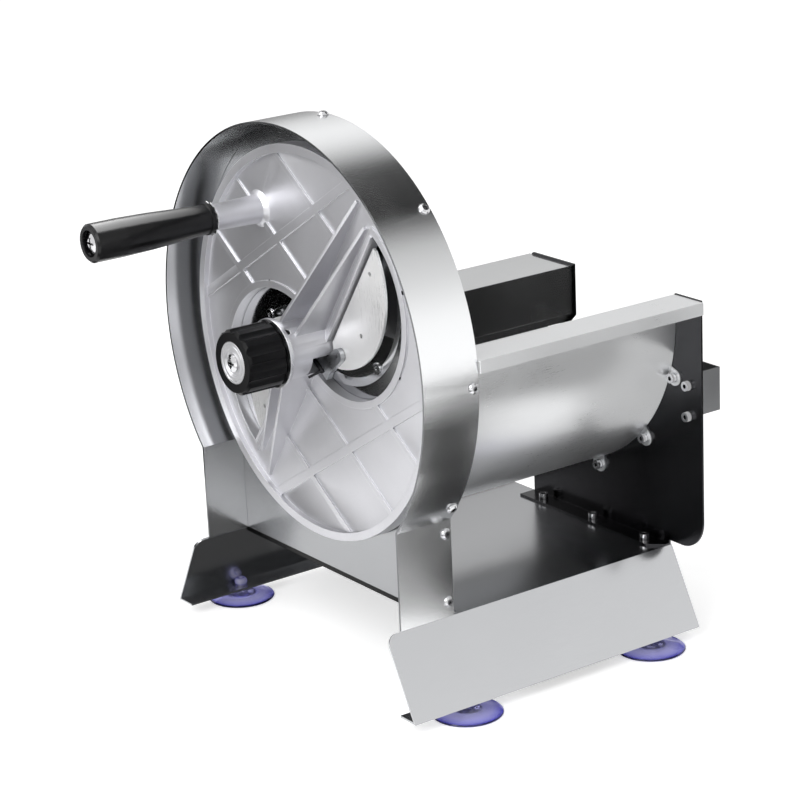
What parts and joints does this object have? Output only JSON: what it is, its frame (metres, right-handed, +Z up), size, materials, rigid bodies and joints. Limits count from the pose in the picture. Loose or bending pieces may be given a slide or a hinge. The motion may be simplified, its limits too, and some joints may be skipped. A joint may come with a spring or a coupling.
{
  "type": "hand crank vegetable slicer",
  "caption": "Hand cranked slicer: a bladed cast disc turns in a sheet steel guard in front of a trough that feeds food, with a thickness knob, crank grip and suction cup feet.",
  "frame": {"origin": "under the middle of the outer box, on the table that the suction cups stand on", "axes": "+X across the machine towards the chute, +Y from the crank side to the rear, +Z up; the crank axis is parallel to Y"},
  "size_m": [0.3325, 0.3898, 0.3954],
  "materials": {
    "stainless_sheet": "polished stainless steel sheet with a fine brushed grain",
    "dark_sheet": "mirror polished stainless steel sheet that reflects a dark room",
    "cast_aluminium": "tumbled cast aluminium, satin",
    "blade_steel": "ground and polished blade steel",
    "plate_steel": "bright polished steel plate",
    "black_plastic": "black moulded plastic, satin gloss",
    "cup_pvc": "clear blue-violet soft PVC",
    "bright_screw": "bright nickel plated steel",
    "dark_screw": "black oxide steel",
    "shaft_steel": "turned steel",
    "bronze": "sintered bronze",
    "zinc_steel": "zinc plated steel"
  },
  "bodies": {
    "frame": {"base_sheet": "stainless_sheet", "suction_cup_front_left": "cup_pvc", "suction_cup_front_right": "cup_pvc", "suction_cup_rear_left": "cup_pvc", "suction_cup_rear_right": "cup_pvc", "guard_band": "stainless_sheet", "back_plate": "stainless_sheet", "guard_screws": "bright_screw", "guard_nuts": "zinc_steel", "back_foot_screws": "bright_screw", "back_foot_nuts": "zinc_steel", "feed_chute": "stainless_sheet", "rear_plate": "dark_sheet", "chute_screws": "bright_screw", "chute_nuts": "zinc_steel", "rear_foot_screws": "bright_screw", "rear_foot_nuts": "zinc_steel", "shaft_box": "stainless_sheet", "box_screws": "bright_screw", "bearing_housing": "zinc_steel", "housing_screws": "bright_screw", "front_bush": "bronze", "rear_bush": "bronze", "food_strap": "stainless_sheet", "strap_screws": "bright_screw", "strap_nuts": "zinc_steel"},
    "rotor": {"crank_shaft": "shaft_steel", "rotor_disc": "cast_aluminium", "blade_1": "blade_steel", "blade_2": "blade_steel", "blade_screws": "bright_screw", "knob_washer": "cast_aluminium", "hub_set_screws": "dark_screw", "thrust_washer": "shaft_steel", "preload_spring": "shaft_steel", "shaft_collar": "zinc_steel", "collar_screw": "dark_screw", "grip_bolt": "bright_screw", "grip_washer": "bright_screw"},
    "grip": {"crank_grip": "black_plastic"},
    "knob": {"adjusting_knob": "black_plastic", "knob_dial": "bright_screw", "knob_bolt": "bright_screw"},
    "slicing_set": {"adjusting_nut": "bronze", "cross_pin": "dark_screw", "plate_carrier": "zinc_steel", "thickness_plate_1": "plate_steel", "thickness_plate_2": "plate_steel", "plate_screws": "bright_screw"}
  },
  "joints": [
    {"name": "crank_turn", "type": "hinge", "parent": "frame", "child": "rotor", "pos_m": [0, -0.0581, 0.235], "axis": [0, 1, 0], "continuous": true},
    {"name": "grip_spin", "type": "hinge", "parent": "rotor", "child": "grip", "pos_m": [-0.05876, -0.1474, 0.32081], "axis": [0, 1, 0], "continuous": true},
    {"name": "knob_turn", "type": "hinge", "parent": "rotor", "child": "knob", "pos_m": [0, -0.1094, 0.235], "axis": [0, 1, 0], "range_deg": [-360, 360]},
    {"name": "plate_slide", "type": "slide", "parent": "rotor", "child": "slicing_set", "axis": [0, 1, 0], "range_m": [-0.005, 0.005]}
  ],
  "couplings": [
    {"joint": "plate_slide", "follows": "knob_turn", "m_per_rad": 0.00079577}
  ]
}
